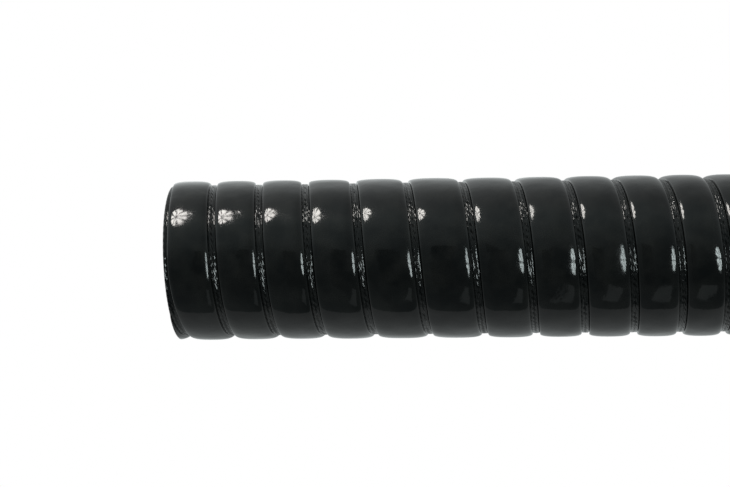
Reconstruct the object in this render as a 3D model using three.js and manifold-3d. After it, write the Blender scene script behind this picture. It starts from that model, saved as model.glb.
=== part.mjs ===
// A helically corrugated rubber hose, lying along +X on the surface z = 0.
// Lengths are millimetres and angles degrees. The hose is one moulded piece: its wall bulges
// between the turns of a groove that winds round it as a right-hand screw, and its bore is
// smooth. The right end is cut square, the left one a little out of square.
import * as THREE from 'three';
import { mergeVertices } from 'three/addons/utils/BufferGeometryUtils.js';
import Module from 'manifold-3d';

// Sizes of the hose
const hoseLength = 500; // along its longest side
const boreDiameter = 51;
const crestWall = 5; // wall thickness under the top of a wave
const leftCutLean = 2.1; // how far the left end leans, its top reaching furthest out

// The groove: its floor is lowest in a crease on its right side. Depths are below the top of
// a wave.
const floorWidth = 2.7;
const floorDepth = 1.7;
const creaseDepth = 2.1;

// The steep side of a wave, right of a crease: a short wall, then a shoulder
const wallWidth = 0.5;
const wallTopDepth = 0.9;
const steepShoulder = 2.8;
const steepShoulderDepth = 0.15;

// The soft side of a wave, left of a floor: two bends on the way down from its top
const softShoulder = 4.8;
const upperBend = 2;
const upperBendDepth = 0.35;
const lowerBend = 0.6;
const lowerBendDepth = 1;

// The winding: the groove was laid by hand, so its pitch drifts slowly along the hose, a
// shorter wobble runs through it, and every turn leans a little
const meanPitch = 18.47;
const firstCrease = 3.9; // the crease on the front of the hose, from the left end
const turnLean = 0.96; // how far the top of a turn leans to the right
const pitchDrift = { amount: 0.104, turns: 10, firstWide: 5.46 }; // amount is a share of it
const pitchWobble = { amount: 0.034, turns: 4.03, firstWide: 1.09 };

// How finely the shapes are faceted
const outerSides = 32;
const boreSides = 48;

const boreRadius = boreDiameter / 2;
const crestRadius = boreRadius + crestWall;

// One wave, from a crease to the floor of the next groove. Each point lies a distance along
// from the crease that is turnsOn turns further on, and a depth below the wave's top.
const waveProfile = [
  { turnsOn: 0, along: 0, depth: creaseDepth },
  { turnsOn: 0, along: wallWidth, depth: wallTopDepth },
  { turnsOn: 0, along: wallWidth + steepShoulder, depth: steepShoulderDepth },
  { turnsOn: 1, along: -floorWidth - softShoulder, depth: 0 },
  { turnsOn: 1, along: -floorWidth - upperBend, depth: upperBendDepth },
  { turnsOn: 1, along: -floorWidth - lowerBend, depth: lowerBendDepth },
  { turnsOn: 1, along: -floorWidth, depth: floorDepth },
];

// How many turns a slow change of the pitch has gained since the left end
function turnsGained(turn, change) {
  const phase = (count) => Math.sin((2 * Math.PI * (count - change.firstWide)) / change.turns);
  return ((change.amount * change.turns) / (2 * Math.PI)) * (phase(turn) - phase(0));
}

// Distance of the crease from the left end after a number of turns
function creasePosition(turn) {
  const lean = Math.tan(THREE.MathUtils.degToRad(turnLean)) * crestRadius;
  const evenTurns = turn + turnsGained(turn, pitchDrift) + turnsGained(turn, pitchWobble);
  return firstCrease + meanPitch * evenTurns - lean * Math.sin(2 * Math.PI * turn);
}

// The waved outside as one solid rod, longer than the hose at both ends. A station is one
// profile point of one wave. Going once round the rod, each station moves back by one turn,
// so the last column of points joins the first one a whole wave earlier.
function wavedRod() {
  const pointsPerWave = waveProfile.length;
  const spareTurns = 3;
  const smallestPitch = meanPitch * (1 - pitchDrift.amount - pitchWobble.amount);
  const firstTurn = -Math.ceil(firstCrease / smallestPitch) - spareTurns;
  const lastTurn = Math.ceil((hoseLength - firstCrease) / smallestPitch) + spareTurns;
  const stations = (lastTurn - firstTurn) * pointsPerWave;
  const positions = [];
  for (let side = 0; side < outerSides; side += 1) {
    const share = side / outerSides;
    const angle = 2 * Math.PI * share;
    for (let station = 0; station < stations; station += 1) {
      const point = waveProfile[station % pointsPerWave];
      const turn = firstTurn + Math.floor(station / pointsPerWave) - share;
      const radius = crestRadius - point.depth;
      positions.push(
        creasePosition(turn + point.turnsOn) + point.along,
        -radius * Math.cos(angle),
        radius * Math.sin(angle),
      );
    }
  }
  const index = (side, station) => side * stations + station;
  const faces = [];
  const addQuad = (a, b, c, d) => faces.push(a, b, c, a, c, d);
  for (let side = 0; side + 1 < outerSides; side += 1) {
    for (let station = 0; station + 1 < stations; station += 1) {
      addQuad(
        index(side, station),
        index(side, station + 1),
        index(side + 1, station + 1),
        index(side + 1, station),
      );
    }
  }
  const lastSide = outerSides - 1;
  for (let station = 0; station + pointsPerWave + 1 < stations; station += 1) {
    const later = station + pointsPerWave;
    addQuad(
      index(lastSide, later),
      index(lastSide, later + 1),
      index(0, station + 1),
      index(0, station),
    );
  }
  const startTip = creasePosition(firstTurn - 2);
  const endTip = creasePosition(lastTurn + 1);
  closeEnd(positions, faces, startLoop(index, pointsPerWave), startTip);
  closeEnd(positions, faces, endLoop(index, stations, pointsPerWave), endTip);
  const rod = new THREE.BufferGeometry();
  rod.setAttribute('position', new THREE.Float32BufferAttribute(positions, 3));
  rod.setIndex(faces);
  return rod;
}

// The open edge at the rod's left end, then at its right end, each in the order that makes
// a fan of triangles from it to a point on the axis face outwards
function startLoop(index, pointsPerWave) {
  const loop = [];
  for (let side = 0; side < outerSides; side += 1) {
    loop.push(index(side, 0));
  }
  for (let station = 1; station <= pointsPerWave; station += 1) {
    loop.push(index(outerSides - 1, station));
  }
  return loop;
}

function endLoop(index, stations, pointsPerWave) {
  const loop = [];
  for (let side = outerSides - 1; side >= 0; side -= 1) {
    loop.push(index(side, stations - 1));
  }
  for (let back = 1; back <= pointsPerWave; back += 1) {
    loop.push(index(0, stations - 1 - back));
  }
  return loop;
}

function closeEnd(positions, faces, loop, axisX) {
  const tip = positions.length / 3;
  positions.push(axisX, 0, 0);
  loop.forEach((vertex, place) => {
    faces.push(vertex, loop[(place + 1) % loop.length], tip);
  });
}

const wasm = await Module();
wasm.setup();

function toSolid(geometry) {
  const bare = geometry.clone();
  bare.deleteAttribute('normal');
  bare.deleteAttribute('uv');
  const merged = mergeVertices(bare);
  return new wasm.Manifold(new wasm.Mesh({
    numProp: 3,
    vertProperties: new Float32Array(merged.attributes.position.array),
    triVerts: new Uint32Array(merged.index.array),
  }));
}

function toGeometry(solid) {
  const mesh = solid.getMesh();
  const geometry = new THREE.BufferGeometry();
  geometry.setAttribute('position', new THREE.BufferAttribute(mesh.vertProperties, 3));
  geometry.setIndex(new THREE.BufferAttribute(mesh.triVerts, 1));
  geometry.computeVertexNormals();
  return geometry;
}

// The ends come from a block wider than the hose, seen here from the side: its left edge
// leans back from the top of the hose, and its right edge is upright
function lengthBlock() {
  const reach = 1.5 * crestRadius;
  const lean = Math.tan(THREE.MathUtils.degToRad(leftCutLean));
  const side = new THREE.Shape([
    new THREE.Vector2((crestRadius + reach) * lean, -reach),
    new THREE.Vector2(hoseLength, -reach),
    new THREE.Vector2(hoseLength, reach),
    new THREE.Vector2((crestRadius - reach) * lean, reach),
  ]);
  const block = new THREE.ExtrudeGeometry(side, { depth: 2 * reach, bevelEnabled: false });
  return block.translate(0, 0, -reach).rotateX(Math.PI / 2);
}

function boreCore() {
  const core = new THREE.CylinderGeometry(boreRadius, boreRadius, 2 * hoseLength, boreSides);
  return core.rotateZ(Math.PI / 2).translate(hoseLength / 2, 0, 0);
}

const hoseSolid = toSolid(wavedRod())
  .intersect(toSolid(lengthBlock()))
  .subtract(toSolid(boreCore()));

const rubber = new THREE.MeshStandardMaterial({ color: 0x0b0b0c, roughness: 0.25, metalness: 0 });
const hose = new THREE.Mesh(toGeometry(hoseSolid), rubber);
hose.name = 'hose';
hose.position.set(-hoseLength / 2, 0, crestRadius);

const group = new THREE.Group();
group.add(hose);

export default group;
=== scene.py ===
# %% [markdown]
# A reinforced rubber hose
#
# The real thing is half a metre of black, glossy rubber hose. Hose of this kind is wound from
# rubber, fabric and a spring of wire on a mandrel and cured into one piece, so there is only
# one piece to model. What the eye sees is its outside: broad waves with a narrow groove
# between them, wound round the hose like a screw thread. This lesson builds that outside as
# one long ribbon, cuts it to length, adds the bore and the two cut faces, and then spends its
# effort on the gloss.

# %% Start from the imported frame
import math

import bmesh
import bpy
import numpy as np
from mathutils import Matrix, Vector


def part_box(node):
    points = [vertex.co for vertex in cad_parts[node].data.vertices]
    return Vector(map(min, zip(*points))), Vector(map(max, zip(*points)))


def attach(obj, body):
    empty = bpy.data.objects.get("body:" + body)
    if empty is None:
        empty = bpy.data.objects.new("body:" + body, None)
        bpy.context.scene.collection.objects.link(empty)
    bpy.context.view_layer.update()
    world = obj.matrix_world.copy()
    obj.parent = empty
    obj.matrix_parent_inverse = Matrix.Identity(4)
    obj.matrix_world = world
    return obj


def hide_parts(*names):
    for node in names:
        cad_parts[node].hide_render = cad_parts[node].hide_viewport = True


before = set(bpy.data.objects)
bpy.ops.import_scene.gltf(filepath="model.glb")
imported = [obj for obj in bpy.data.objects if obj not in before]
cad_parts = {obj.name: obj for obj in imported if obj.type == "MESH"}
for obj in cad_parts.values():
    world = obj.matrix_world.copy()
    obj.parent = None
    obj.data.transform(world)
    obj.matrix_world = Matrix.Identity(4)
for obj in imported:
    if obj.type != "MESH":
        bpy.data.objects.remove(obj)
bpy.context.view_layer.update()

MM = 0.001
hose_low, hose_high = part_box("hose")
hose_length = hose_high.x - hose_low.x
crest_radius = (hose_high.z - hose_low.z) / 2
axis_height = hose_low.z + crest_radius
print("hose", round(hose_length / MM, 1), "mm long,", round(2 * crest_radius / MM, 1), "mm outside")

# %% [markdown]
# Where the camera stands
#
# The camera comes first, because everything after it is judged through it. The waves look
# almost equally wide from one side of the picture to the other, which means a longish lens at
# about half a metre. The hose's end lies to the left of the camera, so the camera turns a
# little towards it, and the hose climbs slightly to the right, so the camera leans a little.
# Each of the three turns is a rotation of its own, multiplied in the order in which a person
# on a tripod would make them: pan, tilt, roll.

# %% The camera
PICTURE_WIDTH = 730
SENSOR_WIDTH = 36.0
FOCAL_PIXELS = 1362.0
CAMERA_RIGHT_OF_END = 100.1 * MM
CAMERA_IN_FRONT_OF_AXIS = 520.0 * MM
CAMERA_ABOVE_AXIS = 6.1 * MM
PAN_LEFT = math.radians(2.95)
TILT_UP = math.radians(-0.03)
ROLL = math.radians(-0.65)
NEAREST_SEEN = 0.01
FURTHEST_SEEN = 60.0

camera_data = bpy.data.cameras.new("camera")
camera_data.sensor_width = SENSOR_WIDTH
camera_data.lens = FOCAL_PIXELS * SENSOR_WIDTH / PICTURE_WIDTH
camera_data.clip_start = NEAREST_SEEN
camera_data.clip_end = FURTHEST_SEEN
camera = bpy.data.objects.new("camera", camera_data)
bpy.context.scene.collection.objects.link(camera)
pan = Matrix.Rotation(PAN_LEFT, 4, "Z")
tilt = Matrix.Rotation(math.pi / 2 + TILT_UP, 4, "X")
roll = Matrix.Rotation(ROLL, 4, "Z")
place = Matrix.Translation((
    hose_low.x + CAMERA_RIGHT_OF_END,
    -CAMERA_IN_FRONT_OF_AXIS,
    axis_height + CAMERA_ABOVE_AXIS,
))
camera.matrix_world = place @ pan @ tilt @ roll
bpy.context.scene.camera = camera
print("lens", round(camera_data.lens, 1), "mm")

# %% [markdown]
# The winding
#
# A groove made on a machine has one pitch. This one looks pressed in by a cord that was wound
# on by hand: the waves are widest around the sixth turn, and a shorter wobble runs through
# them as well. Two slow sine waves in the pitch say that with six numbers. Each turn also
# leans a little to one side. The same formula made the solid in the frame, apart from one
# thing: beside the left cut the first crease strays towards the end, and a bell curve bends it
# there. Angles run from the front of the hose (0) over the top (90 degrees), and the groove
# comes nearer to the left end as the angle grows, which makes it a right-hand screw. The place
# that the formula gives is the crease, the sharp line at the groove's right side.

# %% Where the crease runs
MEAN_PITCH = 18.47 * MM
FIRST_CREASE = 3.9 * MM
DRIFT = {"amount": 0.104, "turns": 10.0, "widest": 5.46}
WOBBLE = {"amount": 0.034, "turns": 4.03, "widest": 1.09}
TURN_LEAN = math.radians(0.96)
FIRST_BEND = {"amount": -1.4 * MM, "turn": 0.03, "spread": 0.12}


def turns_gained(turn, slow_wave):
    """How far a slow wave in the pitch has moved the groove, in turns, since turn 0."""
    def phase(count):
        return np.sin(2 * np.pi * (count - slow_wave["widest"]) / slow_wave["turns"])
    reach = slow_wave["amount"] * slow_wave["turns"] / (2 * np.pi)
    return reach * (phase(turn) - phase(0.0))


def crease_position(turn):
    """Distance of the crease from the left end, after a number of turns."""
    lean = math.tan(TURN_LEAN) * crest_radius * np.sin(-2 * np.pi * turn)
    even_turns = turn + turns_gained(turn, DRIFT) + turns_gained(turn, WOBBLE)
    from_bend = (turn - FIRST_BEND["turn"]) / FIRST_BEND["spread"]
    bend = FIRST_BEND["amount"] * np.exp(-(from_bend**2))
    return FIRST_CREASE + MEAN_PITCH * even_turns + lean + bend


pitches = [crease_position(turn + 1.0) - crease_position(turn) for turn in (0.0, 5.0, 10.0)]
print("pitch at turns 0, 5 and 10:", [round(pitch / MM, 1) for pitch in pitches], "mm")

# %% [markdown]
# The section of one wave
#
# Cut along its length, the hose shows the same section again and again: a floor where the cord
# lay, a thin crease on the floor's right side, a steep little wall where the rubber swelled up
# against the cord, a long flat crown, and a softer shoulder down to the next floor. Wall and
# shoulders are quarters of a superellipse, which is a circle's formula with the 2 exchanged
# for another power: a higher power stays flat for longer and then turns down more sharply.
# The points are crowded where the section bends and spread out where it is flat. Those of the
# floor keep their distance from the crease, and those of the wave share out its width, so a
# wide wave has the same shape as a narrow one.

# %% The rows of points across one wave
FLOOR_WIDTH = 2.7 * MM
FLOOR_DEPTH = 1.7 * MM
CREASE_DEPTH = 2.4 * MM
CREASE_WIDTH = 0.28 * MM
WALL_TOP_DEPTH = 1.1 * MM
STEEP_SHARE = 0.45
STEEP_POWER = 2.2
SOFT_SHARE = 0.55
SOFT_POWER = 3.0
FLOOR_ROWS = 7
SLIP_COLUMNS = 7
STEEP_STEPS = (0, 0.02, 0.06, 0.13, 0.24, 0.4, 0.65, 1.0)
SOFT_STEPS = (0.7, 0.48, 0.33, 0.22, 0.14, 0.08, 0.035, 0.01)


def shoulder(share, power):
    """Height above a shoulder's foot, as a share of its height, at a share of its width."""
    return (1 - (1 - share) ** power) ** (1 / power)


def wave_rows():
    """A dictionary of lists, one number for each row of points."""
    table = {"from_crease": [], "wave_share": [], "depth": [], "floor_share": []}

    def row(from_crease, wave_share, depth, floor_share):
        for name, value in zip(table, (from_crease, wave_share, depth, floor_share)):
            table[name].append(value)

    for step in range(FLOOR_ROWS):
        share = step / (FLOOR_ROWS - 1)
        row(-FLOOR_WIDTH * (1 - share) - CREASE_WIDTH / 2 * share, 0, FLOOR_DEPTH, share)
    row(0, 0, CREASE_DEPTH, 1)
    for share in STEEP_STEPS:
        depth = WALL_TOP_DEPTH * (1 - shoulder(share, STEEP_POWER))
        row(CREASE_WIDTH / 2, STEEP_SHARE * share, depth, 1)
    for share in SOFT_STEPS:
        depth = FLOOR_DEPTH * (1 - shoulder(share, SOFT_POWER))
        row(CREASE_WIDTH / 2, 1 - SOFT_SHARE * share, depth, 1)
    return {name: np.array(values) for name, values in table.items()}


rows = wave_rows()
row_count = len(rows["depth"])
print(row_count, "rows of points across a wave")

# %% [markdown]
# The ribbon
#
# The outside could be a cylinder with a displacement on it, but a screw never lines up with a
# cylinder's rings, and its creases would come out jagged. So the mesh is wound as the groove
# is: a ribbon exactly one wave wide goes round and round, and its far edge is welded to its
# near edge one turn later. Every row of points then follows the groove from end to end.
#
# A twisted cord leaves slanted marks of its strands in the floor, as they show in the picture.
# The floor's rows are therefore slipped, each a little further round than the last. The
# columns of points then run along the strands, and raising every other column makes the marks.

# %% Wind the ribbon
COLUMNS_PER_TURN = 142
SPARE_TURNS = 2
STRAND_RELIEF = 0.15 * MM
STRAND_STRENGTHS = (0.35, 1.0)
STRAND_FULLNESS = 0.6
SINK = 0.09 * MM
SINK_SPEEDS = (0.23, 0.61, 1.31, 2.2)
STRAND_SEED, SINK_SEED = 7, 5
rng = np.random.default_rng(STRAND_SEED)

start_turn = -SPARE_TURNS
stop_turn = math.ceil(hose_length / MEAN_PITCH) + SPARE_TURNS
column_count = (stop_turn - start_turn) * COLUMNS_PER_TURN
weld_step = COLUMNS_PER_TURN + SLIP_COLUMNS


def slow_waver(turn, speeds, seed):
    """A smooth, irregular number between about -1 and 1 that changes along the winding."""
    phases = np.random.default_rng(seed).uniform(0, 2 * np.pi, len(speeds))
    waves = [np.sin(2 * np.pi * speed * turn + phase) for speed, phase in zip(speeds, phases)]
    return np.sum(waves, axis=0) / len(speeds)


def ribbon_points():
    """Places of all points, as an array of columns by rows by three."""
    columns = np.arange(column_count)[:, None]
    from_crease, wave_share, depth, floor_share = (values[None, :] for values in rows.values())
    turn = start_turn + (columns + SLIP_COLUMNS * floor_share) / COLUMNS_PER_TURN
    angle = -2 * np.pi * turn
    foot = crease_position(turn) + CREASE_WIDTH / 2
    wave_width = crease_position(turn + 1) - FLOOR_WIDTH - foot
    x = foot + (from_crease - CREASE_WIDTH / 2) + wave_share * wave_width
    crown_share = 1 - depth / CREASE_DEPTH
    sink = SINK * (1 + slow_waver(turn, SINK_SPEEDS, SINK_SEED))
    strength = rng.uniform(*STRAND_STRENGTHS, column_count)[:, None]
    ridge = np.where(columns % 2 == 0, 1.0, -1.0) * strength
    marks = STRAND_RELIEF * ridge * np.sin(np.pi * floor_share) ** STRAND_FULLNESS
    radius = crest_radius - depth - sink * crown_share + marks
    y = -radius * np.cos(angle)
    z = axis_height + radius * np.sin(angle)
    return np.stack([hose_low.x + x, y, z], axis=-1)


def ribbon_faces():
    """Quads between neighbouring columns and rows, the last row welded one turn further on."""
    column, row = np.meshgrid(np.arange(column_count - 1), np.arange(row_count), indexing="ij")

    def point(c, r):
        welded = r == row_count
        return np.where(welded, (c + weld_step) * row_count, c * row_count + r)

    quads = np.stack([
        point(column, row),
        point(column, row + 1),
        point(column + 1, row + 1),
        point(column + 1, row),
    ], axis=-1).reshape(-1, 4)
    corner_columns = np.stack([column, column, column + 1, column + 1], axis=-1).reshape(-1, 4)
    corner_rows = np.stack([row, row + 1, row + 1, row], axis=-1).reshape(-1, 4)
    whole = quads.max(axis=1) < column_count * row_count
    return quads[whole], corner_columns[whole], corner_rows[whole]


def ribbon_map(corner_columns, corner_rows):
    """Distances round and across the groove, in millimetres, for the corners of the quads."""
    slip = SLIP_COLUMNS * np.append(rows["floor_share"], 1)
    across = rows["from_crease"] + rows["wave_share"] * (MEAN_PITCH - FLOOR_WIDTH)
    across = np.append(across, MEAN_PITCH - FLOOR_WIDTH) / MM
    step = 2 * np.pi * crest_radius / COLUMNS_PER_TURN / MM
    round_mm = (corner_columns + slip[corner_rows]) * step
    return np.stack([round_mm, across[corner_rows]], axis=-1).reshape(-1, 2)


points = ribbon_points()
quads, corner_columns, corner_rows = ribbon_faces()
hose_mesh = bpy.data.meshes.new("hose_wall")
hose_mesh.from_pydata(points.reshape(-1, 3).tolist(), [], quads.tolist())
winding_map = hose_mesh.uv_layers.new(name="winding")
winding_map.data.foreach_set("uv", ribbon_map(corner_columns, corner_rows).ravel())
print(len(quads), "quads in", stop_turn - start_turn, "turns")

# %% [markdown]
# Where the knife cuts
#
# The ribbon starts and stops raggedly, a turn or two beyond each end of the hose. A knife cut
# is a plane, so two bisecting planes trim it, and the left one leans by a degree or two as the
# real cut does. What is left is a long sleeve with an open rim at each end. It is cut one bevel
# short of the true plane, so that the bevel has room.

# %% Where the knife cuts
LEFT_CUT_LEAN = math.radians(2.1)
EDGE_BEVEL = 0.25 * MM
WELD_DISTANCE = 1e-7
ON_PLANE = 1e-6

bm = bmesh.new()
bm.from_mesh(hose_mesh)
left_outward = Vector((-math.cos(LEFT_CUT_LEAN), 0, -math.sin(LEFT_CUT_LEAN)))
cuts = {
    "left": (Vector((hose_low.x, 0, hose_high.z)), left_outward),
    "right": (Vector((hose_high.x, 0, hose_high.z)), Vector((1, 0, 0))),
}


def trim(end):
    """Cuts the sleeve just inside an end's plane and returns the rim's points by angle."""
    point, outward = cuts[end]
    everything = bm.verts[:] + bm.edges[:] + bm.faces[:]
    bmesh.ops.bisect_plane(bm, geom=everything, plane_co=point - EDGE_BEVEL * outward,
                           plane_no=outward, clear_outer=True, dist=WELD_DISTANCE)
    beyond = {v: (v.co - point).dot(outward) + EDGE_BEVEL for v in bm.verts}
    on_plane = [v for v in bm.verts if abs(beyond[v]) < ON_PLANE]
    rim = [v for v in on_plane if any(len(e.link_faces) == 1 for e in v.link_edges)]
    return sorted(rim, key=angle_of)


def angle_of(vertex):
    return math.atan2(vertex.co.z - axis_height, vertex.co.y)


print("the uncut sleeve has", len(bm.verts), "points")

# %% [markdown]
# The rings of a cut end
#
# Both rims are closed in the same way: a narrow bevel, because rubber never keeps a perfectly
# sharp edge, then the flat cut face, then the edge of the bore. Each of these is a ring of
# points, and every ring lies on the plane of the cut or a little inside it.

# %% The rings of a cut end
BORE_RADIUS = 25.5 * MM
BORE_SIDES = 96


def on_cut(end, y, z, inset=0.0):
    """The point of an end's plane at this height, or a little inside it."""
    point, outward = cuts[end]
    x = point.x - (z - point.z) * outward.z / outward.x
    return bm.verts.new(Vector((x, y, z)) - inset * outward)


def bevelled(end, rim):
    """The rim again, one bevel further out and one bevel nearer to the axis."""
    ring = []
    for vertex in rim:
        y, z = vertex.co.y, vertex.co.z - axis_height
        shrink = 1 - EDGE_BEVEL / math.hypot(y, z)
        ring.append(on_cut(end, y * shrink, axis_height + z * shrink))
    return ring


def bore_ring(end, radius, inset=0.0):
    """A ring of evenly spaced points on an end's plane, round the axis."""
    ring = []
    for side in range(BORE_SIDES):
        angle = -math.pi + 2 * math.pi * (side + 0.5) / BORE_SIDES
        y, z = radius * math.cos(angle), axis_height + radius * math.sin(angle)
        ring.append(on_cut(end, y, z, inset))
    return ring


print("bore", round(2 * BORE_RADIUS / MM, 1), "mm wide, with", BORE_SIDES, "points in a ring")

# %% [markdown]
# Faces between two rings
#
# Two rings with the same number of points are joined by a band of quads. The rim has far more
# points than the bore, so the cut face between them is zipped instead: walking round both rings
# at once, the next triangle always steps on the ring that has fallen behind.

# %% Cut both ends and close them
CUT_FACE = 1


def band(first, second, finish):
    """Quads between two rings with the same number of points."""
    for here in range(len(first)):
        there = (here + 1) % len(first)
        face = bm.faces.new((first[here], first[there], second[there], second[here]))
        face.material_index = finish


def zip_rings(outer, inner, finish):
    """Triangles between two rings of points that are both in order of angle."""
    outer_step, inner_step = 0, 0
    while outer_step < len(outer) or inner_step < len(inner):
        outer_here = outer[outer_step % len(outer)]
        inner_here = inner[inner_step % len(inner)]
        outer_angle = angle_of(outer[outer_step]) if outer_step < len(outer) else math.inf
        inner_angle = angle_of(inner[inner_step]) if inner_step < len(inner) else math.inf
        if outer_angle <= inner_angle:
            outer_step += 1
            corners = (outer_here, outer[outer_step % len(outer)], inner_here)
        else:
            inner_step += 1
            corners = (outer_here, inner[inner_step % len(inner)], inner_here)
        bm.faces.new(corners).material_index = finish


mouths = {}
for end in cuts:
    rim = trim(end)
    face_edge = bevelled(end, rim)
    band(rim, face_edge, CUT_FACE)
    bore_edge = bore_ring(end, BORE_RADIUS + EDGE_BEVEL)
    zip_rings(face_edge, bore_edge, CUT_FACE)
    mouths[end] = bore_ring(end, BORE_RADIUS, EDGE_BEVEL)
    band(bore_edge, mouths[end], CUT_FACE)
    print(end, "rim has", len(rim), "points")

# %% [markdown]
# The lining
#
# The bore is a smooth tube, because it was formed by a polished mandrel. It needs only a few
# rings of points, and they are there so that its long faces stay short enough to shade well.
# Then the mesh is complete: points that coincide are welded, all faces are turned outwards, and
# edges that fold more than the shoulders do are marked as sharp.

# %% Line the bore
BORE = 2
BORE_RINGS = 24
SHARP_ANGLE = math.radians(42)


def between(first, second, share):
    """New points part of the way from one ring to another."""
    return [bm.verts.new(a.co.lerp(b.co, share)) for a, b in zip(first, second)]


previous = mouths["left"]
for ring in range(1, BORE_RINGS):
    following = between(mouths["left"], mouths["right"], ring / BORE_RINGS)
    band(previous, following, BORE)
    previous = following
band(previous, mouths["right"], BORE)

bmesh.ops.remove_doubles(bm, verts=bm.verts[:], dist=WELD_DISTANCE)
bmesh.ops.recalc_face_normals(bm, faces=bm.faces[:])
open_edges = sum(1 for edge in bm.edges if len(edge.link_faces) != 2)
triangles = sum(len(face.verts) - 2 for face in bm.faces)
bm.to_mesh(hose_mesh)
bm.free()
hose_mesh.shade_smooth()
hose_mesh.set_sharp_from_angle(angle=SHARP_ANGLE)
hose_wall = bpy.data.objects.new("hose_wall", hose_mesh)
bpy.context.scene.collection.objects.link(hose_wall)
print("open edges:", open_edges, "triangles:", triangles)

# %% [markdown]
# Black rubber
#
# Polished black rubber has almost no colour of its own. Nearly everything the eye sees on it
# is a reflection, so its finish is made of small changes in gloss and in the lie of the
# surface, and hardly at all of paint. Each of the three finishes is one Principled node with a
# few smaller nodes round it. The functions here add those smaller nodes, so that a finish
# reads like a list of what it is made of. Their first argument owns the nodes: it is a
# material, and later the room.

# %% Helpers for building shaders
def new_material(name):
    """A material with one Principled node, and that node."""
    material = bpy.data.materials.new(name)
    material.use_nodes = True
    material.node_tree.nodes.clear()
    output = material.node_tree.nodes.new("ShaderNodeOutputMaterial")
    shader = material.node_tree.nodes.new("ShaderNodeBsdfPrincipled")
    material.node_tree.links.new(shader.outputs["BSDF"], output.inputs["Surface"])
    return material, shader


def add(owner, kind, **settings):
    """A node of this kind. Settings are its own properties, or the values of its sockets."""
    node = owner.node_tree.nodes.new(kind)
    for name, value in settings.items():
        if hasattr(node, name):
            setattr(node, name, value)
        else:
            node.inputs[name.replace("_", " ").title()].default_value = value
    return node


def link(owner, source, target):
    owner.node_tree.links.new(source, target)


# %% Helpers for patterns and sums
RANGE_SOCKETS = ("From Min", "From Max", "To Min", "To Max")


def noise(owner, place, size, detail=2.0, roughness=0.5):
    """Noise with bumps of about this size, in the unit of the places it is given."""
    node = add(owner, "ShaderNodeTexNoise", scale=1 / size, detail=detail, roughness=roughness)
    link(owner, place, node.inputs["Vector"])
    return node.outputs["Fac"]


def remap(owner, value, before, after):
    """A value taken from one range, given as a pair, to another."""
    node = add(owner, "ShaderNodeMapRange")
    for socket, number in zip(RANGE_SOCKETS, (*before, *after)):
        node.inputs[socket].default_value = number
    link(owner, value, node.inputs["Value"])
    return node.outputs["Result"]


def combine(owner, operation, first, second):
    """One of the math node's operations on a value and another value or a number."""
    node = add(owner, "ShaderNodeMath", operation=operation)
    link(owner, first, node.inputs[0])
    if isinstance(second, float):
        node.inputs[1].default_value = second
    else:
        link(owner, second, node.inputs[1])
    return node.outputs["Value"]


# %% Helpers for bumps and colours
MIX_COLOUR_INPUTS = (6, 7)
MIX_COLOUR_OUTPUT = 2


def bump(owner, height, depth, below=None):
    """A bump of this depth in metres, on top of another bump if one is given."""
    node = add(owner, "ShaderNodeBump")
    node.inputs["Strength"].default_value = 1.0
    node.inputs["Distance"].default_value = depth
    link(owner, height, node.inputs["Height"])
    if below is not None:
        link(owner, below, node.inputs["Normal"])
    return node.outputs["Normal"]


def blend(owner, share, first, second):
    """A colour between two colours, each a plain colour or the output of a node."""
    node = add(owner, "ShaderNodeMix", data_type="RGBA")
    link(owner, share, node.inputs["Factor"])
    for number, colour in zip(MIX_COLOUR_INPUTS, (first, second)):
        if isinstance(colour, tuple):
            node.inputs[number].default_value = (*colour, 1)
        else:
            link(owner, colour, node.inputs[number])
    return node.outputs[MIX_COLOUR_OUTPUT]


# %% [markdown]
# Marks in the groove, and dust
#
# Besides the slanted marks, the floor of the groove shows short strokes across it and a few
# fine ridges along it. They are far too fine for the mesh, so they become a height for a bump.
# They have to follow the winding, which is why they are drawn on the ribbon's own map: one of
# its numbers runs round the hose and the other across the wave, both in millimetres, with the
# crease at zero. A mask keeps the marks on the floor, left of the crease. Dust needs no map: it
# is one small dot in some of the cells of a loose three-dimensional pattern.

# %% The marks of the cord
STROKE_SIZE = 0.9
STROKE_STRETCH = (1.0, 0.22, 0)
RIDGE_SPACING = 1.3
RIDGE_SHARE = 0.7
MARKS_FADE_IN = (-2.7, -2.4)
MARKS_FADE_OUT = (-0.45, -0.25)


def cord_marks(owner, winding):
    """Strokes across the floor of the groove and fine ridges along it."""
    split = add(owner, "ShaderNodeSeparateXYZ")
    link(owner, winding, split.inputs["Vector"])
    across = split.outputs["Y"]
    stretched = add(owner, "ShaderNodeVectorMath", operation="MULTIPLY")
    stretched.inputs[1].default_value = STROKE_STRETCH
    link(owner, winding, stretched.inputs[0])
    strokes = noise(owner, stretched.outputs["Vector"], STROKE_SIZE, detail=3)
    left = remap(owner, across, MARKS_FADE_IN, (0, 1))
    right = remap(owner, across, MARKS_FADE_OUT, (1, 0))
    floor_only = combine(owner, "MULTIPLY", left, right)
    phase = combine(owner, "MULTIPLY", across, 2 * math.pi / RIDGE_SPACING)
    ridges = combine(owner, "MULTIPLY", combine(owner, "SINE", phase, 0.0), RIDGE_SHARE)
    relief = combine(owner, "ADD", strokes, ridges)
    return combine(owner, "MULTIPLY", relief, floor_only)


# %% Dust
DUST_CELL = 22 * MM
DUST_DOT = (0.008, 0.013)


def dust_specks(owner, place):
    """1 in a speck of dust and 0 between them. A dot's sizes are shares of a cell."""
    cells = add(owner, "ShaderNodeTexVoronoi", scale=1 / DUST_CELL)
    link(owner, place, cells.inputs["Vector"])
    return remap(owner, cells.outputs["Distance"], DUST_DOT, (1, 0))


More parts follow.
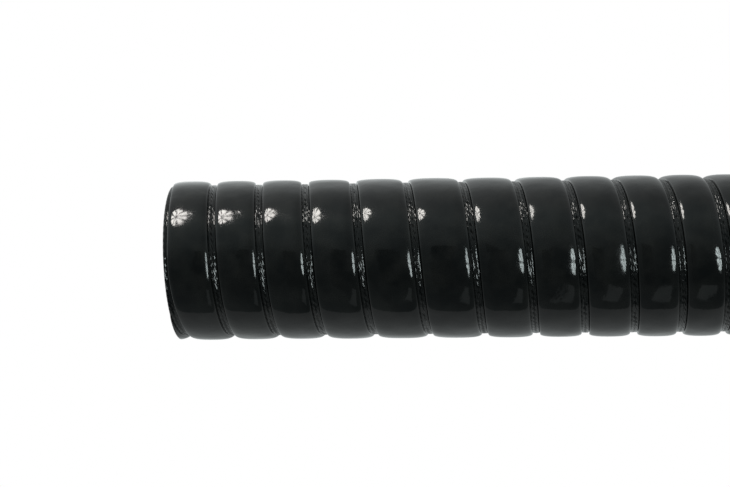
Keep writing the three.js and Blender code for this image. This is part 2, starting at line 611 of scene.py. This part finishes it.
# %% [markdown]
# The glossy outside
#
# Clean gloss looks like plastic. What makes it rubber is that nothing on it is quite even, and
# each kind of unevenness has a size of its own. Blotches shift the near-black colour a little,
# and clouds dull the gloss in places. A slow swell bends the reflections and a finer one makes
# their edges waver. The bumps are chained, each on top of the one before, and the marks in the
# groove come last.

# %% The glossy outside
DARK_RUBBER = (0.002, 0.0028, 0.003)
PALE_RUBBER = (0.008, 0.0085, 0.008)
DUST_COLOUR = (0.25, 0.25, 0.24)
BLOTCH_SIZE = 7 * MM
BLOTCH_CONTRAST = (0.35, 0.65)
CLOUD_SIZE = 9 * MM
CLOUD_CONTRAST = (0.35, 0.7)
GLOSS_ROUGHNESS = (0.07, 0.13)
SWELL_SIZE, SWELL_DEPTH = 14 * MM, 0.6 * MM
WAVER_SIZE, WAVER_DEPTH = 4 * MM, 0.07 * MM
CORD_MARK_DEPTH = 0.08 * MM


def glossy_rubber():
    material, shader = new_material("glossy_rubber")
    place = add(material, "ShaderNodeTexCoord").outputs["Object"]
    winding = add(material, "ShaderNodeUVMap", uv_map="winding").outputs["UV"]
    shader.inputs["IOR"].default_value = 1.5
    shader.inputs["Specular IOR Level"].default_value = 0.5
    blotches = noise(material, place, BLOTCH_SIZE, detail=3)
    paleness = remap(material, blotches, BLOTCH_CONTRAST, (0, 1))
    grey = blend(material, paleness, DARK_RUBBER, PALE_RUBBER)
    tinted = blend(material, dust_specks(material, place), grey, DUST_COLOUR)
    link(material, tinted, shader.inputs["Base Color"])
    clouds = noise(material, place, CLOUD_SIZE, detail=3)
    dull = remap(material, clouds, CLOUD_CONTRAST, GLOSS_ROUGHNESS)
    link(material, dull, shader.inputs["Roughness"])
    uneven = bump(material, noise(material, place, SWELL_SIZE, detail=1), SWELL_DEPTH)
    uneven = bump(material, noise(material, place, WAVER_SIZE, detail=2), WAVER_DEPTH, uneven)
    uneven = bump(material, cord_marks(material, winding), CORD_MARK_DEPTH, uneven)
    link(material, uneven, shader.inputs["Normal"])
    return material


# %% [markdown]
# The cut faces and the bore
#
# A knife leaves rubber matt and finely dragged, so the cut faces are rougher and a little paler
# than the outside. Hose of this kind has plies of fabric in its wall, and a cut shows them as
# thin rings of pale dots. The picture has the cut edge on, so these two rings are an informed
# guess. They are drawn by the distance from the hose's axis. The bore is dull, smooth and black.

# %% The fabric in a cut face
PLY_RADII = (27.3 * MM, 28.1 * MM)
PLY_HALF_THICKNESS = 0.16 * MM
PLY_CORE_SHARE = 0.6
THREAD_SIZE = 0.9 * MM
THREAD_CONTRAST = (0.45, 0.55)
THREAD_STRENGTH = (0.15, 1)


def ply_threads(owner, place):
    """Where the cut fabric plies show: thin dotted rings round the bore."""
    from_axis = add(owner, "ShaderNodeVectorMath", operation="SUBTRACT")
    from_axis.inputs[1].default_value = (0, 0, axis_height)
    link(owner, place, from_axis.inputs[0])
    flat = add(owner, "ShaderNodeVectorMath", operation="MULTIPLY")
    flat.inputs[1].default_value = (0, 1, 1)
    link(owner, from_axis.outputs["Vector"], flat.inputs[0])
    radius = add(owner, "ShaderNodeVectorMath", operation="LENGTH")
    link(owner, flat.outputs["Vector"], radius.inputs[0])
    fade = (PLY_CORE_SHARE * PLY_HALF_THICKNESS, PLY_HALF_THICKNESS)
    threads = None
    for ply_radius in PLY_RADII:
        offset = combine(owner, "SUBTRACT", radius.outputs["Value"], ply_radius)
        ply = remap(owner, combine(owner, "ABSOLUTE", offset, 0.0), fade, (1, 0))
        threads = ply if threads is None else combine(owner, "MAXIMUM", threads, ply)
    dots = noise(owner, place, THREAD_SIZE, detail=1)
    return combine(owner, "MULTIPLY", threads, remap(owner, dots, THREAD_CONTRAST, THREAD_STRENGTH))


# %% The matt cut faces
CUT_COLOUR = (0.012, 0.012, 0.0125)
PLY_COLOUR = (0.10, 0.095, 0.08)
CUT_ROUGHNESS = 0.55
DRAG_SIZE, DRAG_DEPTH = 0.6 * MM, 0.1 * MM


def cut_rubber():
    material, shader = new_material("cut_rubber")
    place = add(material, "ShaderNodeTexCoord").outputs["Object"]
    colour = blend(material, ply_threads(material, place), CUT_COLOUR, PLY_COLOUR)
    link(material, colour, shader.inputs["Base Color"])
    shader.inputs["Roughness"].default_value = CUT_ROUGHNESS
    drag = bump(material, noise(material, place, DRAG_SIZE, detail=4, roughness=0.6), DRAG_DEPTH)
    link(material, drag, shader.inputs["Normal"])
    return material


# %% The bore
BORE_COLOUR = (0.006, 0.006, 0.0065)
BORE_CLOUD_SIZE = 12 * MM
BORE_ROUGHNESS = (0.25, 0.4)
BORE_SWELL_SIZE, BORE_SWELL_DEPTH = 20 * MM, 0.2 * MM


def bore_rubber():
    material, shader = new_material("bore_rubber")
    place = add(material, "ShaderNodeTexCoord").outputs["Object"]
    shader.inputs["Base Color"].default_value = (*BORE_COLOUR, 1)
    clouds = noise(material, place, BORE_CLOUD_SIZE, detail=3)
    dull = remap(material, clouds, CLOUD_CONTRAST, BORE_ROUGHNESS)
    link(material, dull, shader.inputs["Roughness"])
    uneven = bump(material, noise(material, place, BORE_SWELL_SIZE, detail=2), BORE_SWELL_DEPTH)
    link(material, uneven, shader.inputs["Normal"])
    return material


for finish in (glossy_rubber(), cut_rubber(), bore_rubber()):
    hose_mesh.materials.append(finish)
print("finishes:", [finish.name for finish in hose_mesh.materials])

# %% [markdown]
# The studio
#
# Black gloss shows its surroundings, so they are the second half of the finish. Above and
# behind the hose everything is white, and in front, where the camera is, the room is dark.
# The sky of the scene holds that as a gradient that turns round the hose's axis. A second
# gradient runs along the hose and makes the room brighter towards its ends, most of all on the
# left. The room is a little less red than white, and in front a little less so again.

# %% The room's brightness
ROOM_BY_ANGLE = (
    (-180, 0.45), (-95, 0.30), (-84, 0.16), (-60, 0.12), (-30, 0.085), (-6, 0.11), (11, 0.15),
    (29, 0.26), (40, 0.30), (60, 0.43), (90, 0.45), (110, 0.55), (130, 0.72), (180, 0.85),
)
ROOM_ALONG = (
    (-0.95, 2.0), (-0.75, 1.7), (-0.5, 1.2), (-0.2, 1.14), (0.0, 1.0), (0.2, 0.78), (0.5, 0.8),
    (0.75, 1.0), (0.95, 1.3),
)
print("room:", len(ROOM_BY_ANGLE), "stops round the hose and", len(ROOM_ALONG), "along it")


# %% A ramp of colours
def colour_ramp(owner, value, colours):
    """A ramp on a value from 0 to 1, with stops that are each a position and a colour."""
    ramp = add(owner, "ShaderNodeValToRGB")
    stops = ramp.color_ramp.elements
    while len(stops) > 1:
        stops.remove(stops[0])
    for number, (position, colour) in enumerate(colours):
        stop = stops[0] if number == 0 else stops.new(position)
        stop.position = position
        stop.color = (*colour, 1)
    link(owner, value, ramp.inputs["Fac"])
    return ramp.outputs["Color"]


# %% The room as a gradient
FRONT_REACH = 85
FRONT_RED, BACK_RED = 0.88, 0.95

room = bpy.data.worlds.new("room")
room.use_nodes = True
bpy.context.scene.world = room


def room_colour(direction):
    """Colour by the direction's angle round the hose: 0 in front, 90 up, 180 behind."""
    forward = combine(room, "MULTIPLY", direction.outputs["Y"], -1.0)
    angle_round = combine(room, "ARCTAN2", direction.outputs["Z"], forward)
    share = remap(room, angle_round, (-math.pi, math.pi), (0, 1))
    colours = []
    for angle, value in ROOM_BY_ANGLE:
        red = FRONT_RED if abs(angle) < FRONT_REACH else BACK_RED
        colours.append(((angle + 180) / 360, (value * red, value, value)))
    return colour_ramp(room, share, colours)


def room_strength(direction):
    """Strength by how far the direction points along the hose, from -1 (left) to 1."""
    share = remap(room, direction.outputs["X"], (-1, 1), (0, 1))
    strongest = max(value for x, value in ROOM_ALONG)
    greys = [((x + 1) / 2, [value / strongest] * 3) for x, value in ROOM_ALONG]
    return combine(room, "MULTIPLY", colour_ramp(room, share, greys), strongest)


direction = add(room, "ShaderNodeSeparateXYZ")
link(room, add(room, "ShaderNodeTexCoord").outputs["Generated"], direction.inputs["Vector"])
background = room.node_tree.nodes["Background"]
link(room, room_colour(direction), background.inputs["Color"])
link(room, room_strength(direction), background.inputs["Strength"])
print("the room has", len(room.node_tree.nodes), "nodes")

# %% [markdown]
# The floor and the white beyond it
#
# In the picture the hose lies on pure white, with no shadow. A sheet that glows by itself does
# that. It comes in two parts: one that only the camera sees, wide and evenly white, and one
# that the camera doesn't see, a card under the hose for its reflections. The card is painted
# shade: it glows at only a third to a half of the floor's white, as the floor would look in the
# hose's shadow. It starts under the front of the hose, dim there, and is at its brightest close
# to the hose's lowest line.

# %% Helpers for the stage
def glow(name, colour, strength):
    """A material that only shines, with the same brightness from every side."""
    material = bpy.data.materials.new(name)
    material.use_nodes = True
    nodes = material.node_tree.nodes
    nodes.clear()
    output = nodes.new("ShaderNodeOutputMaterial")
    emission = nodes.new("ShaderNodeEmission")
    emission.inputs["Color"].default_value = (*colour, 1)
    emission.inputs["Strength"].default_value = strength
    link(material, emission.outputs["Emission"], output.inputs["Surface"])
    return material


def sheet(name, corners, material):
    """One flat face of the stage."""
    mesh = bpy.data.meshes.new(name)
    mesh.from_pydata(corners, [], [tuple(range(len(corners)))])
    mesh.materials.append(material)
    piece = bpy.data.objects.new(name, mesh)
    bpy.context.scene.collection.objects.link(piece)
    return piece


def only_camera(piece):
    piece.visible_glossy = False
    piece.visible_diffuse = False
    piece.visible_transmission = False
    piece.visible_shadow = False


def flat_corners(reach, front, back):
    return [(-reach, front, 0), (reach, front, 0), (reach, back, 0), (-reach, back, 0)]


# %% Floor and backdrop
WHITE = (1, 1, 1)
STAGE_REACH = 8

white = glow("white_floor", WHITE, 1.0)
floor = sheet("floor", flat_corners(STAGE_REACH, -STAGE_REACH, STAGE_REACH), white)
only_camera(floor)

dome_mesh = bpy.data.meshes.new("backdrop")
dome = bmesh.new()
bmesh.ops.create_icosphere(dome, subdivisions=3, radius=STAGE_REACH)
dome.to_mesh(dome_mesh)
dome.free()
dome_mesh.materials.append(white)
backdrop = bpy.data.objects.new("backdrop", dome_mesh)
bpy.context.scene.collection.objects.link(backdrop)
only_camera(backdrop)
print("floor and backdrop reach", STAGE_REACH, "m from the hose")

# %% The card under the hose, a painted-shade copy of the floor
CARD_REACH = 3
CARD_BACK = 4
CARD_FRONT = -25.5 * MM
CARD_FULL = -6 * MM
# Both strengths are far below the floor's white: painted shade, the floor in the hose's shadow as
# the hose reflects it.
CARD_DIM, CARD_BRIGHT = 0.33, 0.56
CARD_COLOUR = (0.94, 1, 1)


def shaded_floor_glow():
    """Painted shade of the floor: a glow that grows from dim to bright between two distances from
    the hose's axis.
    """
    material = glow("card", CARD_COLOUR, CARD_BRIGHT)
    place = add(material, "ShaderNodeTexCoord").outputs["Object"]
    split = add(material, "ShaderNodeSeparateXYZ")
    link(material, place, split.inputs["Vector"])
    backwards = (CARD_FRONT, CARD_FULL)
    strength = remap(material, split.outputs["Y"], backwards, (CARD_DIM, CARD_BRIGHT))
    link(material, strength, material.node_tree.nodes["Emission"].inputs["Strength"])
    return material


card = sheet("card", flat_corners(CARD_REACH, CARD_FRONT, CARD_BACK), shaded_floor_glow())
card.visible_camera = False
print("the card starts", round(-CARD_FRONT / MM, 1), "mm in front of the axis")

# %% [markdown]
# Two umbrella lights and two panes
#
# The bright spots on the waves look like small pictures of two photographer's umbrellas, whose
# ribs show as dark spokes: one up on the left, one low on the right. Each is eight glowing
# panels with a gap between them. Two flat panes add what the gradient can't, because they have
# edges: a pale one low down in front, and a dark one behind the camera. All of them stand far
# off, so that every wave sees them in nearly the same direction.

# %% Where a light stands
LIGHT_DISTANCE = 4.0


def facing(towards):
    """A place far off in this direction, and the directions sideways and upwards there."""
    outward = Vector(towards).normalized()
    middle = Vector((hose_low.x + CAMERA_RIGHT_OF_END, 0, axis_height))
    side = outward.cross(Vector((0, 0, 1))).normalized()
    return middle + LIGHT_DISTANCE * outward, side, side.cross(outward)


print("lights stand", LIGHT_DISTANCE, "m away")

# %% The umbrellas
RIBS = 8
PANEL_SHARES = (0.16, 0.84)
HUB_SHARE = 0.18
WARM_WHITE = (1.0, 0.97, 0.92)
COOL_WHITE = (0.88, 1.0, 1.0)


def umbrella(name, towards, wide, tall, colour, strength):
    """Eight glowing panels round a point, facing the hose, with their size in degrees."""
    centre, side, up = facing(towards)
    half_wide = LIGHT_DISTANCE * math.tan(math.radians(wide / 2))
    half_tall = LIGHT_DISTANCE * math.tan(math.radians(tall / 2))
    corners, panels = [], []
    for rib in range(RIBS):
        for share in PANEL_SHARES:
            angle = 2 * math.pi * (rib + share) / RIBS
            spoke = half_wide * math.cos(angle) * side + half_tall * math.sin(angle) * up
            for reach in (HUB_SHARE, 1.0):
                corners.append(centre + reach * spoke)
        first = 4 * rib
        panels.append((first, first + 1, first + 3, first + 2))
    mesh = bpy.data.meshes.new(name)
    mesh.from_pydata([tuple(corner) for corner in corners], [], panels)
    mesh.materials.append(glow(name, colour, strength))
    piece = bpy.data.objects.new(name, mesh)
    bpy.context.scene.collection.objects.link(piece)
    piece.visible_camera = False


umbrella("umbrella_high", (-0.36, -0.36, 0.876), 20, 24, WARM_WHITE, strength=20)
umbrella("umbrella_low", (0.48, -0.87, -0.06), 18, 33, COOL_WHITE, strength=12)
print("2 umbrellas with", RIBS, "panels each")

# %% The panes
PANE_COLOUR = (0.9, 1.0, 1.0)


def pane(name, towards, half_wide, half_tall, strength):
    """A flat pane in a direction from the hose, its half sizes as shares of its distance."""
    centre, side, up = facing(towards)
    corners = []
    for across, upward in ((-1, -1), (1, -1), (1, 1), (-1, 1)):
        offset = across * half_wide * side + upward * half_tall * up
        corners.append(tuple(centre + LIGHT_DISTANCE * offset))
    piece = sheet(name, corners, glow(name, PANE_COLOUR, strength))
    piece.visible_camera = False


pane("low_pane", (0.21, -0.578, -0.788), half_wide=0.1, half_tall=0.22, strength=0.27)
pane("dark_pane", (-0.03, -1.0, -0.22), half_wide=0.13, half_tall=0.5, strength=0.08)

bpy.context.scene.view_settings.view_transform = "Standard"
print("view transform:", bpy.context.scene.view_settings.view_transform)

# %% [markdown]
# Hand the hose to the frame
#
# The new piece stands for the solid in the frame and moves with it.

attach(hose_wall, "root")
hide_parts("hose")
